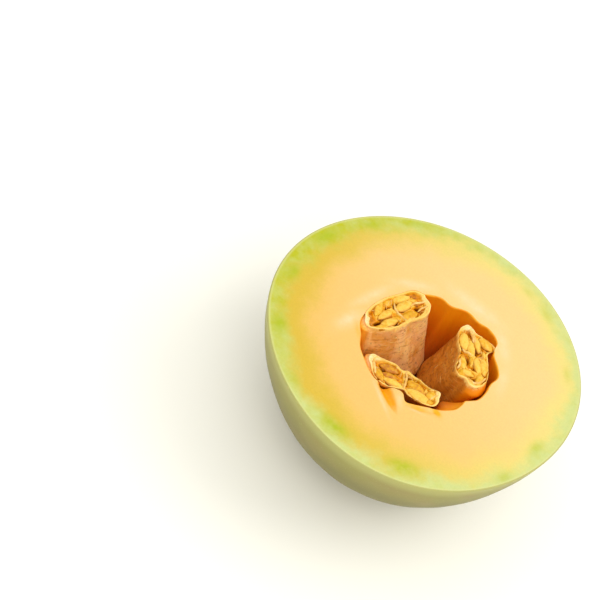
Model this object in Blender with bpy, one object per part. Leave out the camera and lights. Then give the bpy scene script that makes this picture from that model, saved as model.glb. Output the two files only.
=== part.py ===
"""Half of an orange-fleshed honeydew melon, cut across the middle, with its seeds still in.

It rests on a small flat spot on its rind with the cut face up and level. The origin lies on that spot, at
the middle of the half's overall size. +Z is up, and the lengths are in metres. The half is one solid with
an open seed cavity. Three seed bundles stand in the cavity, each a fibrous sheath packed with seeds. They
lean together towards the cavity's foot, and the knife has cut all of them level.
"""

import math

import bmesh
import bpy
from mathutils import Euler, Matrix, Vector

MM = 0.001

# The melon: the whole fruit is a slightly long ball, cut a little off its middle.
FACE_RADIUS = 75 * MM
MELON_HALF_LENGTH = 83 * MM
CUT_OFFSET = 10 * MM
REST_RADIUS = 10 * MM
RIND_SEGMENTS = 80
RIND_RINGS = 40

# The lobes of the rind's outline, each as (waves round it, height, where a crest lies in degrees). They
# make it uneven, so the melon's own axis stands this far off the origin. Plans below are measured from it.
RIND_LOBES = ((3, 0.8 * MM, 43), (4, 0.3 * MM, 8))
AXIS = (0.5 * MM, 0.6 * MM)

# The seed cavity, an upright egg that the knife opens at its widest. Its outline at the cut is in mm.
CAVITY_DEPTH = 45 * MM
CAVITY_SEGMENTS = 96
CAVITY_RINGS = 27
CAVITY_OUTLINE = (
    (34.8, 2.5), (32.8, 10.0), (28.0, 16.5), (26.5, 24.0), (20.5, 28.3), (14.5, 28.6), (8.5, 30.6),
    (0.3, 28.2), (-5.5, 29.2), (-12.5, 26.3), (-18.0, 24.8), (-23.3, 17.6), (-28.5, 9.0), (-30.8, 1.0),
    (-30.6, -8.0), (-27.0, -15.0), (-24.5, -20.8), (-19.3, -26.3), (-12.5, -32.0), (-6.0, -32.9),
    (-0.3, -31.5), (5.5, -34.0), (12.5, -31.8), (18.5, -28.9), (24.3, -24.0), (26.9, -17.5), (32.2, -11.0),
)

# The sheaths and the pits that hold the seeds.
WALL_GAP = 0.5 * MM
KNIFE_GAP = 0.3 * MM
SHEATH_WALL = 1.4 * MM
PIT_DEPTH = 1.7 * MM
PIT_TAPER = 0.5 * MM
PIT_SHARES = (0.2, 0.45, 0.7, 0.9, 1.0)
BUNDLE_SEGMENTS = 44
BUNDLE_RINGS = 11
BUNDLE_FOOT = 38 * MM

# Below this share of its height a bundle rounds off, down to the end's share of its section.
ROUND_FROM = 0.72
ROUND_END = 0.4

# The bundles press on each other along three upright planes, which meet at this point of the plan.
MEETING_POINT = (2.8, -5.0)
PRESS_GAP = 0.3 * MM

# A melon seed: flat, blunt at one end and pointed at the other.
SEED_THICKNESS = 3.0 * MM
SEED_SEGMENTS = 10
SEED_RINGS = 6
SEED_POINT = 0.35
SEED_SINK = 1.75 * MM

# Each bundle, in mm and degrees: the directions of the two planes beside it, from the first round to the
# second; the middle, half sizes and direction of its foot; its outline at the cut; and its seeds, each as
# the middle, the direction of its point, its length, its width and how far it leans over.
BUNDLES = {
    "seed_bundle_left": {
        "planes": (90, 208),
        "foot": ((-4.5, 10.5), (13.0, 11.5), 70),
        "outline": (
            (-11.8, 24.7), (-8.2, 22.6), (-7.4, 18.0), (-9.6, 12.0), (-12.4, 7.0), (-14.5, 2.0),
            (-17.0, -2.3), (-19.8, -5.8), (-23.5, -8.6), (-27.5, -9.6), (-29.8, -7.6), (-30.2, 1.0),
            (-27.9, 8.8), (-22.8, 17.0), (-17.4, 24.2),
        ),
        "seeds": (
            (-26.2, 4.5, 97, 10.0, 4.0, 11), (-23.0, 3.0, 250, 9.5, 4.4, 9), (-19.0, 0.8, 60, 9.5, 4.6, -9),
            (-18.4, 13.0, 242, 10.0, 5.0, 6), (-13.4, 10.8, 65, 9.5, 4.8, -9), (-20.4, 16.4, 52, 9.0, 4.0, 11),
        ),
    },
    "seed_bundle_right": {
        "planes": (332, 90),
        "foot": ((10.2, 8.5), (13.0, 9.0), 117),
        "outline": (
            (12.8, 25.2), (9.9, 22.3), (9.6, 17.5), (10.9, 12.0), (13.5, 7.5), (15.4, 2.0), (17.2, -3.2),
            (21.5, -5.0), (26.5, -6.7), (30.5, -4.8), (31.2, 0.0), (30.2, 6.0), (27.8, 12.0), (27.0, 16.0),
            (27.3, 20.0), (23.5, 22.6), (17.5, 23.2),
        ),
        "seeds": (
            (13.8, 14.3, 298, 10.0, 4.8, 9), (18.0, 12.8, 118, 10.5, 4.0, -9), (19.4, 17.2, 305, 9.0, 3.8, 9),
            (23.2, 19.5, 340, 9.0, 4.6, 4), (23.8, 6.3, 118, 9.5, 4.2, 9), (27.3, 7.2, 295, 10.0, 4.4, -6),
            (17.6, 2.6, 113, 9.0, 4.2, -9), (22.4, -1.2, 12, 8.0, 4.2, 0), (28.1, -1.2, 280, 9.0, 3.8, 9),
        ),
    },
    "seed_bundle_near": {
        "planes": (208, 332),
        "foot": ((1.0, -12.0), (10.0, 5.0), 0),
        "outline": (
            (-20.0, -22.5), (-17.5, -20.0), (-12.5, -19.8), (-7.0, -18.4), (-0.5, -18.3), (5.0, -20.0),
            (11.0, -20.2), (15.8, -19.6), (17.7, -23.5), (16.3, -28.3), (11.0, -30.3), (5.0, -30.2),
            (0.8, -28.6), (-3.0, -31.0), (-8.0, -31.8), (-13.5, -29.3), (-18.3, -26.0),
        ),
        "seeds": (
            (-5.8, -28.4, 8, 11.0, 4.4, -9), (-8.2, -22.4, 192, 9.5, 4.2, 9), (7.6, -27.4, 177, 11.0, 4.4, -6),
            (5.8, -23.6, -6, 9.5, 4.4, 9), (13.0, -24.2, 85, 7.0, 4.5, 0),
        ),
    },
}

RIND_GREEN = (0.62, 0.68, 0.32)
FLESH_ORANGE = (1.0, 0.66, 0.23)
PULP_ORANGE = (0.78, 0.25, 0.02)
SHEATH_TAN = (0.68, 0.34, 0.14)
SEED_CREAM = (0.93, 0.62, 0.16)

MELON_RADIUS = FACE_RADIUS / math.sqrt(1 - (CUT_OFFSET / MELON_HALF_LENGTH) ** 2)
REST_DROP = MELON_HALF_LENGTH * math.sqrt(1 - (REST_RADIUS / MELON_RADIUS) ** 2)
FACE_HEIGHT = REST_DROP - CUT_OFFSET

# Edges shorter than this are left over from fusing the seeds.
SHORTEST_EDGE = 0.002 * MM

# Faces whose normal is this close to upright belong to the cut, and edges sharper than this stay sharp.
UPRIGHT = 0.999
SHARP_EDGE = 40


def material(name, colour, roughness):
    made = bpy.data.materials.new(name)
    made.use_nodes = True
    shader = made.node_tree.nodes["Principled BSDF"]
    shader.inputs["Base Color"].default_value = (*colour, 1)
    shader.inputs["Roughness"].default_value = roughness
    shader.inputs["Metallic"].default_value = 0
    return made


def waves(lobes, angle):
    """How far an outline stands out of its circle at this angle."""
    return sum(high * math.cos(n * (angle - math.radians(crest))) for n, high, crest in lobes)


class Outline:
    """A closed smooth outline through points in mm, told as a radius at each angle round its middle."""

    def __init__(self, points, middle=None):
        if middle is None:
            middle = [sum(axis) / len(points) for axis in zip(*points)]
        self.middle = Vector((*middle, 0)) * MM
        polar = []
        for x, y in points:
            spoke = Vector((x, y, 0)) * MM - self.middle
            polar.append((math.atan2(spoke.y, spoke.x) % math.tau, spoke.length))
        polar.sort()
        self.angles = [angle for angle, _ in polar]
        self.radii = [radius for _, radius in polar]

    def radius(self, angle):
        """The radius at an angle, by a curve through the four nearest points."""
        angle %= math.tau
        count = len(self.angles)
        after = next((i for i, known in enumerate(self.angles) if known > angle), count)
        known = []
        for i in range(after - 2, after + 2):
            known.append((self.angles[i % count] + math.tau * (i // count), self.radii[i % count]))
        (a0, r0), (a1, r1), (a2, r2), (a3, r3) = known
        span = a2 - a1
        share = (angle - a1) / span
        slope1 = (r2 - r0) / (a2 - a0) * span
        slope2 = (r3 - r1) / (a3 - a1) * span
        square, cube = share**2, share**3
        return (
            r1 * (2 * cube - 3 * square + 1)
            + slope1 * (cube - 2 * square + share)
            + r2 * (3 * square - 2 * cube)
            + slope2 * (cube - square)
        )


CAVITY = Outline(CAVITY_OUTLINE, middle=(0, 0))


def cavity_radius(angle, depth):
    """The cavity's radius at an angle and a depth under the cut face."""
    return CAVITY.radius(angle) * math.sqrt(max(0.0, 1 - (depth / CAVITY_DEPTH) ** 2))


def clear_collections():
    for obj in list(bpy.data.objects):
        bpy.data.objects.remove(obj)
    parts = bpy.data.collections.new("honeydew melon half")
    cutters = bpy.data.collections.new("cutters")
    for collection in (parts, cutters):
        bpy.context.scene.collection.children.link(collection)
    return parts, cutters


def add_object(name, bm, collection, materials=()):
    mesh = bpy.data.meshes.new(name)
    bm.normal_update()
    bm.to_mesh(mesh)
    bm.free()
    mesh.shade_smooth()
    obj = bpy.data.objects.new(name, mesh)
    for one in materials:
        mesh.materials.append(one)
    collection.objects.link(obj)
    return obj


def ball(segments, rings, radius_at, length):
    """An egg on its end: a sphere drawn out along Z, its radius told for each angle round it."""
    bm = bmesh.new()
    bmesh.ops.create_uvsphere(bm, u_segments=segments, v_segments=rings, radius=1)
    for vert in bm.verts:
        x, y, z = vert.co
        radius = radius_at(math.atan2(y, x))
        vert.co = (x * radius, y * radius, z * length)
    return bm


def cut_level(bm, height, upper):
    """Cuts the mesh level at a height, drops what is above or below, and closes the cut flat."""
    geometry = bm.verts[:] + bm.edges[:] + bm.faces[:]
    cut = bmesh.ops.bisect_plane(
        bm,
        geom=geometry,
        plane_co=(0, 0, height),
        plane_no=(0, 0, 1 if upper else -1),
        clear_outer=True,
    )
    rim = [item for item in cut["geom_cut"] if isinstance(item, bmesh.types.BMEdge)]
    bmesh.ops.contextual_create(bm, geom=rim)


def cavity_cutter(cutters):
    bm = ball(CAVITY_SEGMENTS, CAVITY_RINGS, CAVITY.radius, CAVITY_DEPTH)
    cutter = add_object("seed_cavity", bm, cutters, [material("pulp", PULP_ORANGE, 0.35)])
    cutter.location.z = FACE_HEIGHT
    cutter.hide_render = True
    cutter.display_type = "WIRE"
    return cutter


def melon_half(parts, cutters):
    """Rind and flesh in one solid, cut level at the top, flat where it rests, and opened by the cavity."""
    rind = material("rind", RIND_GREEN, 0.5)
    flesh = material("flesh", FLESH_ORANGE, 0.35)
    bm = ball(
        RIND_SEGMENTS,
        RIND_RINGS,
        lambda angle: MELON_RADIUS + waves(RIND_LOBES, angle),
        MELON_HALF_LENGTH,
    )
    bmesh.ops.translate(bm, vec=(0, 0, FACE_HEIGHT + CUT_OFFSET), verts=bm.verts)
    cut_level(bm, FACE_HEIGHT, upper=True)
    cut_level(bm, 0, upper=False)
    bmesh.ops.recalc_face_normals(bm, faces=bm.faces)
    for face in bm.faces:
        face.material_index = 1 if face.normal.z > UPRIGHT else 0
    melon = add_object("melon_half", bm, parts, [rind, flesh])
    opening = melon.modifiers.new("Seed cavity", "BOOLEAN")
    opening.operation = "DIFFERENCE"
    opening.solver = "EXACT"
    opening.material_mode = "TRANSFER"
    opening.object = cavity_cutter(cutters)
    melon.data.set_sharp_from_angle(angle=math.radians(SHARP_EDGE))
    return melon


def inside_cavity(point):
    """The point, pulled back to just inside the cavity's wall if it lies beyond it."""
    depth = FACE_HEIGHT - point.z
    most = cavity_radius(math.atan2(point.y, point.x), depth) - WALL_GAP
    reach = math.hypot(point.x, point.y)
    if reach <= most:
        return point
    return Vector((point.x * most / reach, point.y * most / reach, point.z))


class Bundle:
    """One seed bundle's shape: where a point of it lies, from its share of the way down, the angle round
    its middle and the share of the way out from there."""

    def __init__(self, planes, foot, outline, seeds):
        self.cut = Outline(outline)
        middle, half_sizes, direction = foot
        self.foot = Vector((*middle, 0)) * MM
        self.foot_half = Vector(half_sizes) * MM
        self.foot_turn = math.radians(direction)
        self.seeds = seeds
        first, second = (math.radians(angle) for angle in planes)
        self.inward = (
            Vector((-math.sin(first), math.cos(first), 0)),
            Vector((math.sin(second), -math.cos(second), 0)),
        )

    def foot_radius(self, angle):
        """The radius of the foot's oval at an angle round its middle."""
        turn = angle - self.foot_turn
        return 1 / math.hypot(math.cos(turn) / self.foot_half.x, math.sin(turn) / self.foot_half.y)

    def beside_planes(self, point):
        """The point, pushed back to its own side of the planes where the bundles press on each other."""
        meeting = Vector((*MEETING_POINT, 0)) * MM
        for normal in self.inward:
            over = PRESS_GAP - (point - meeting).dot(normal)
            if over > 0:
                point = point + normal * over
        return point

    def point(self, drop, angle, share=1.0, depth=None, inset=0.0):
        radius = self.cut.radius(angle) * (1 - drop) + self.foot_radius(angle) * drop
        if drop > ROUND_FROM:
            rounding = (drop - ROUND_FROM) / (1 - ROUND_FROM)
            radius *= math.sqrt(1 - (1 - ROUND_END**2) * rounding**2)
        level = FACE_HEIGHT - KNIFE_GAP - (drop * BUNDLE_FOOT if depth is None else depth)
        middle = self.cut.middle.lerp(self.foot, drop) + Vector((0, 0, level))
        spoke = Vector((math.cos(angle), math.sin(angle), 0)) * radius
        spoke = self.beside_planes(inside_cavity(middle + spoke)) - middle
        return middle + spoke * share * (1 - inset / spoke.length)

    def ring(self, drop, **more):
        turns = [math.tau * i / BUNDLE_SEGMENTS for i in range(BUNDLE_SEGMENTS)]
        return [self.point(drop, angle, **more) for angle in turns]


def loft(rings):
    """A closed mesh through rings of points, each end closed on its ring's middle."""
    bm = bmesh.new()
    rows = [[bm.verts.new(point) for point in ring] for ring in rings]
    count = len(rows[0])
    for upper, lower in zip(rows, rows[1:]):
        for i in range(count):
            j = (i + 1) % count
            bm.faces.new((upper[i], upper[j], lower[j], lower[i]))
    for row in (rows[0], rows[-1]):
        middle = bm.verts.new(sum((vert.co for vert in row), Vector()) / count)
        for i in range(count):
            bm.faces.new((row[i], row[(i + 1) % count], middle))
    bmesh.ops.recalc_face_normals(bm, faces=bm.faces)
    return bm


def sheath(name, bundle, parts, materials):
    """The bundle's body: a pit for the seeds inside a flat rim, then the sheath down to its round foot."""
    rings = [
        bundle.ring(0, share=share, depth=PIT_DEPTH, inset=SHEATH_WALL + PIT_TAPER) for share in PIT_SHARES
    ]
    rings.append(bundle.ring(0, inset=SHEATH_WALL))
    rings += [bundle.ring(i / BUNDLE_RINGS) for i in range(BUNDLE_RINGS + 1)]
    return add_object(name, loft(rings), parts, materials)


def seed(name, length, width, collection, seed_material):
    """One seed, its length along X and its point at +X."""
    bm = bmesh.new()
    bmesh.ops.create_uvsphere(bm, u_segments=SEED_SEGMENTS, v_segments=SEED_RINGS, radius=1)
    bmesh.ops.rotate(bm, verts=bm.verts, cent=(0, 0, 0), matrix=Matrix.Rotation(math.pi / 2, 3, "Y"))
    for vert in bm.verts:
        x, y, z = vert.co
        taper = 1 - SEED_POINT * max(0.0, x)
        vert.co = (x * length / 2, y * taper * width / 2, z * taper * SEED_THICKNESS / 2)
    return add_object(name, bm, collection, [seed_material])


def lay_seeds(bundle, pile, seed_material):
    """Lays the bundle's seeds flat in its pit, just under the knife's cut."""
    for number, (x, y, turn, length, width, lean) in enumerate(bundle.seeds):
        made = seed(f"seed_{number}", length * MM, width * MM, pile, seed_material)
        made.location = (x * MM, y * MM, FACE_HEIGHT - KNIFE_GAP - SEED_SINK)
        made.rotation_euler = Euler((math.radians(lean), 0, math.radians(turn)))


def fill_hollows(mesh):
    """Drops every shell but the largest, which fills what the fused seeds seal off, and the tiny edges."""
    bm = bmesh.new()
    bm.from_mesh(mesh)
    left = set(bm.verts)
    shells = []
    while left:
        shell = set()
        front = [left.pop()]
        while front:
            vert = front.pop()
            shell.add(vert)
            near = {edge.other_vert(vert) for edge in vert.link_edges} & left
            left -= near
            front += near
        shells.append(shell)
    shells.sort(key=len)
    for shell in shells[:-1]:
        bmesh.ops.delete(bm, geom=list(shell), context="VERTS")
    bmesh.ops.dissolve_degenerate(bm, dist=SHORTEST_EDGE, edges=bm.edges)
    bm.to_mesh(mesh)
    bm.free()


def join_pile(obj, pile):
    """Fuses the objects of a collection into obj, then removes them."""
    union = obj.modifiers.new("Seeds", "BOOLEAN")
    union.operation = "UNION"
    union.operand_type = "COLLECTION"
    union.solver = "EXACT"
    union.material_mode = "TRANSFER"
    union.collection = pile
    bpy.context.view_layer.update()
    evaluated = obj.evaluated_get(bpy.context.evaluated_depsgraph_get())
    obj.data = bpy.data.meshes.new_from_object(evaluated)
    obj.modifiers.clear()
    fill_hollows(obj.data)
    for one in list(pile.objects):
        bpy.data.objects.remove(one)
    bpy.data.collections.remove(pile)


def seed_bundles(parts):
    sheath_material = material("seed_sheath", SHEATH_TAN, 0.55)
    seed_material = material("seed", SEED_CREAM, 0.35)
    for name, shape in BUNDLES.items():
        bundle = Bundle(**shape)
        body = sheath(name, bundle, parts, [sheath_material])
        pile = bpy.data.collections.new(f"seeds of {name}")
        bpy.context.scene.collection.children.link(pile)
        lay_seeds(bundle, pile, seed_material)
        join_pile(body, pile)


def main():
    parts, cutters = clear_collections()
    melon_half(parts, cutters)
    seed_bundles(parts)
    for obj in (*parts.objects, *cutters.objects):
        obj.location += Vector((*AXIS, 0))


main()
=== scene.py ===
"""The looks of half an orange-fleshed honeydew melon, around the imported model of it.

It is laid out as a Blender add-on and is run as a script. Its pieces are the cut melon, with its waxy rind,
its flesh and its seed cavity, and the three seed bundles that stand in the cavity: each has a fibrous
sheath, the seeds that lie in it and loose fibres. Plans are in mm from the melon's own axis, with X to the
right and Y away, and depths are in mm under the cut.
"""

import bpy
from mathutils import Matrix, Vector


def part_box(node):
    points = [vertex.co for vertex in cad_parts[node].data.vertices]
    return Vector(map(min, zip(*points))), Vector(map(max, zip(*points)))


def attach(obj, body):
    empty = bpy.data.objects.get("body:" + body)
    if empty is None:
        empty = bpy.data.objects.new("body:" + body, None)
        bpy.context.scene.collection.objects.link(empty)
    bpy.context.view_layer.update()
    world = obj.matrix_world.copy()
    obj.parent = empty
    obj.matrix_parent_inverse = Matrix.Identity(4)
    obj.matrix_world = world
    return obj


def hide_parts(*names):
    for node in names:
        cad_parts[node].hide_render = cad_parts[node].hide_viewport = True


bl_info = {
    "name": "Honeydew melon half",
    "version": (1, 0, 0),
    "blender": (4, 5, 0),
    "location": "3D View > Sidebar > Melon",
    "description": "Makes a cut honeydew melon with its rind, flesh and seed bundles",
    "category": "Add Mesh",
}

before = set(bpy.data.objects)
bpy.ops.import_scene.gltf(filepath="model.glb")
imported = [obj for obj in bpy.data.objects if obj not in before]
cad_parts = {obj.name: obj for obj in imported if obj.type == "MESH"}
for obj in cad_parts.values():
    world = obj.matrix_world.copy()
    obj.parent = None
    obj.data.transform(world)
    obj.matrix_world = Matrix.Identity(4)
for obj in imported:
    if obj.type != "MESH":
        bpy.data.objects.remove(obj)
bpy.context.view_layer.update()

import math
from functools import partial

import bpy
import numpy as np
from mathutils import Matrix, Vector, noise

MM = 0.001
TAU = math.tau

# The cut's height comes from the frame. The melon's own axis stands this far off the frame's origin, in mm.
CUT_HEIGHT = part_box("melon_half")[1].z / MM
AXIS = (0.5, 0.6)

# The lobes of the rind's outline: waves round it, height in mm, and where a crest lies in degrees.
RIND_LOBES = ((3, 0.8, 43), (4, 0.3, 8))

# The outline of the seed cavity at the cut.
CAVITY_OUTLINE = (
    (33.4, 0.5), (34.7, 6.2), (32.4, 11), (28, 16.5), (26.5, 24), (20.5, 28.3), (14.5, 28.6), (8.5, 30.6),
    (0.3, 28.2), (-5.5, 29.2), (-12.5, 26.3), (-18, 24.8), (-23.3, 17.6), (-28.5, 9), (-30.8, 1), (-30.6, -8),
    (-27, -15), (-24.5, -20.8), (-19.3, -26.3), (-12.6, -31.9), (-6.5, -32.7), (-0.8, -30.9), (2.4, -30.9),
    (4.8, -34), (8.8, -33), (13, -31), (18.6, -28.6), (22, -26.2), (25.4, -22.8), (26.9, -18.6),
    (27.3, -15.9), (29.4, -13.9), (31.8, -11.3), (33.3, -5.5),
)

# Where the cavity's wall slopes in as a ledge, its spread to each side in degrees, how far it reaches, the
# depth where it is full, and the depths between which it fades.
LEDGE_DIRECTION = -42
LEDGE_SPREAD = 12
LEDGE_REACH = 8
LEDGE_DEPTH = 8
LEDGE_FADE = (34, 16)

# Where the flesh tore as it was cut: a notch that runs out from the cavity to its tip, with its half width
# and depth at the cavity.
NOTCH_FROM = (-6.9, -32.3)
NOTCH_TIP = (5, -43.4)
NOTCH_HALF = 3
NOTCH_DEPTH = 3.2

# A crease that runs beside the cavity in two straight parts, with its half width and depth.
CREASE = (((6, -35.9), (13, -34)), ((13, -34), (19, -30.6)))
CREASE_HALF = 0.6
CREASE_DEPTH = 0.5

# The scar in the rest spot: its dent's depth and the reach over which it ends, and the ring round it.
SCAR_DEPTH = 0.5
SCAR_REACH = (2, 4.5)
SCAR_RING = 5.2
SCAR_RING_HALF = 0.8
SCAR_RING_DEPTH = 0.35

# Stains in the flesh, each as its middle, half length, half width, direction in degrees and strength. The
# pale ones are partly pale fibrous flesh and partly painted wet sheen, and the thin one along the notch's
# edge is a painted highlight.
STAINS = {
    "yellow_stain": (
        (19.3, -30.3, 2.4, 1.5, 160, 1.5), (11.8, -33.7, 5.5, 1.2, 13, 1), (-29.5, -14, 5, 1.2, 125, 0.5),
    ),
    "pale_and_sheen_mark": (
        (10, 36.5, 13, 3.6, 172, 0.6), (-35.5, -11, 8, 3.4, 70, 0.6), (-33, 8, 12, 2.6, 66, 0.5),
        (-20, 27.5, 10, 2.4, 30, 0.5), (30, 24, 9, 3, 125, 0.45), (2.6, -35.4, 3.6, 1.5, 118, 0.4),
        (37.5, 6, 8, 2.4, 100, 0.35), (-4.5, -40.3, 8, 0.8, 138, 0.55), (10.5, -35.9, 4.5, 0.6, 8, 0.35),
    ),
    "green_stain": (
        (-59.5, -34.1, 5.5, 3.2, 120, 0.9), (-68.6, -4.4, 5, 2.8, 94, 0.9), (-15, -66.4, 8, 3.6, 168, 0.9),
        (18.9, -65.4, 7, 3.6, 15, 1), (64.4, -17.7, 5, 2.6, 75, 0.6), (-66, 24, 6, 3.4, 70, 1),
        (-52, 46.5, 5, 2.4, 45, 0.6), (-34, 62.5, 6, 2.2, 25, 0.5), (40, 56, 6, 2.4, 140, 0.4),
        (-40, -56.5, 4, 2, 145, 0.4), (58, -41, 5, 2.4, 60, 0.5), (61.8, 29.6, 4, 2, 116, 0.4),
        (27.5, 62.4, 4, 2, 156, 0.35), (-3.6, 70, 3.5, 1.6, 0, 0.4),
    ),
}

# How uneven each surface is, in layers of lumps: each layer's height and its lumps' size in mm, and a seed.
LUMPS = {
    "rind": ((0.35, 30, 1), (0.12, 9, 2)),
    "cut": ((0.12, 13, 5), (0.05, 4, 6)),
    "wall": ((0.5, (5, 5, 30), 3), (0.25, (2.4, 2.4, 14), 4)),
    "rim_width": ((0.5, 2.2, 40), (0.3, 0.9, 45)),
    "rim": ((0.3, 2.4, 41), (0.2, 0.9, 42)),
    "pit": ((0.5, 2.6, 43), (0.25, 1, 44)),
}

# The rounded lip where the cut meets the cavity: its least size, and how much more it has where the bundles
# leave it free by so many mm.
LIP_LEAST = 0.02
LIP_MORE = 0.55
LIP_FREE = (0.3, 1.8)

# The wall's folds are told on an upright tube of this radius.
WALL_RADIUS = 30

# The bundles press on each other along three upright planes, which meet at this point of the plan, and each
# keeps this gap to them.
MEETING_POINT = (2.8, -5)
PRESS_GAP = 0.06

# Each bundle's shape:
# "planes" are the directions of the two planes beside it, from the first round to the second.
# "foot" is the middle, half sizes and direction of its foot.
# "bulges" are where its flank swells, each as direction, reach in degrees, height, and the depths where it
# starts and is full. "folds" are its upright folds, each as direction, reach and amount; they shape the flank
# and are painted pale on the crests as painted light and brown in the troughs as painted shade, partly the
# sheath's own tan and brown.
# "ripe" is how far its sheath has turned orange-brown, and "threads" is how many fine fibres lie on it.
# "stained" is the share of the way to the cavity's wall from which it takes the wall's orange, partly a
# real stain and partly painted light that stands in for the glow in the narrow gap.
# "outline" is its edge at the cut. "rim" has the places where the rim is wider or narrower there, as
# middle, reach, extra width and whiteness, which is below 0 where the rim is less pale.
# "seeds" are told by the middle, the direction of the point, length, width, lean, depth and yellowness.
# "hollows" are gaps between the seeds, painted dark by the gel's painted shade at depth, as middle, half
# length, half width, direction and depth.
# "webs" are pale skins that stand up between the seeds, from one point to another.
# "strands" are thick fibres across the cut, each as its width and the points of its way.
LEFT = {
    "planes": (90, 208),
    "foot": ((-4.5, 10.5), (13, 11.5), 70),
    "bulges": ((250, 20, 6, 0.5, 14), (224, 22, 3.2, 1.1, 2.8), (20, 45, -1.2, 0.4, 4)),
    "folds": ((266, 17, -0.7), (314, 17, 1.1), (348, 12, -0.3), (30, 20, 0.5)),
    "ripe": 0,
    "threads": 90,
    "stain_and_glow": 0.9,
    "outline": (
        (-11.6, 25.2), (-8.2, 22.8), (-7, 19.4), (-7.5, 15.4), (-9.4, 11.6), (-12, 7.2), (-14.6, 2.6),
        (-16.8, -1.8), (-19.8, -5.2), (-23.2, -7.6), (-26, -8.9), (-28.6, -8), (-30.2, -5), (-31.4, 1),
        (-29.5, 9.3), (-24.5, 17.8), (-18.3, 25.8),
    ),
    "rim": (
        (-28.6, -5.4, 3, 1.8, 0.9), (-12.5, 23.5, 3, 1.2, 0.3), (-30, 7, 4, 0.4, 0.2),
        (-9, 19.5, 4.5, 1.9, 0.1), (-11.5, 8, 4, 0.4, 0), (-22, -8, 4, -0.5, 0), (-17, 24.6, 3, -0.4, 0),
    ),
    "seeds": (
        (-27, 4.5, 97, 10, 3.9, 14, 1.3, 0.55), (-23.2, 3, 250, 9.3, 3.8, 9, 1.1, 0.25),
        (-19.4, 1, 60, 9.3, 4.3, -9, 1.2, 0.35), (-20.6, -3.6, 45, 8, 2.9, -14, 1.5, 0.8),
        (-18.3, 13, 242, 9.8, 5, 6, 0.9, 0.2), (-13.3, 11, 65, 9.4, 4.6, -9, 1.2, 0.9),
        (-20.8, 16.8, 52, 9.2, 3.6, 11, 1.1, 0.1), (-25, 10.9, 60, 7, 3.4, 8, 2, 0.8),
        (-15.8, 19.6, 35, 6.5, 3, 0, 2.1, 0.5), (-16.9, 5.6, 10, 5.5, 2.8, 0, 2.3, 0.9),
    ),
    "hollows": (
        (-22, 11.4, 1.3, 0.9, 20, 2.6), (-24, 7.4, 1.6, 0.7, 55, 2), (-17.1, 17.5, 1.2, 0.7, 30, 2),
        (-12.2, 17, 1.9, 1.1, 110, 2.2), (-18.6, 20.9, 2.4, 0.6, 25, 1.8), (-23.6, -2.6, 2.4, 0.7, 50, 2.4),
        (-21.7, 1.4, 4, 0.5, 64, 1.6), (-20, 14.8, 4, 0.4, 55, 1.2), (-16.4, 2.6, 1.5, 0.7, 120, 1.4),
    ),
    "webs": (
        ((-25.6, 6.4), (-20.5, 7.2)), ((-20.5, 7.2), (-13, 6.6)), ((-22.4, 7.6), (-22.9, 12.6)),
        ((-15.4, 15.4), (-11.2, 19.8)),
    ),
    "strands": (
        (1.2, (-10.4, 23.6), (-12.4, 20.4), (-14.8, 18), (-15.6, 15)),
        (1, (-9, 20.6), (-11, 17.6), (-11.4, 14.6)),
        (1.2, (-22.6, 11.6), (-20.8, 8.8), (-18.4, 7.4), (-14.4, 6.6)),
    ),
}
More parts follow.
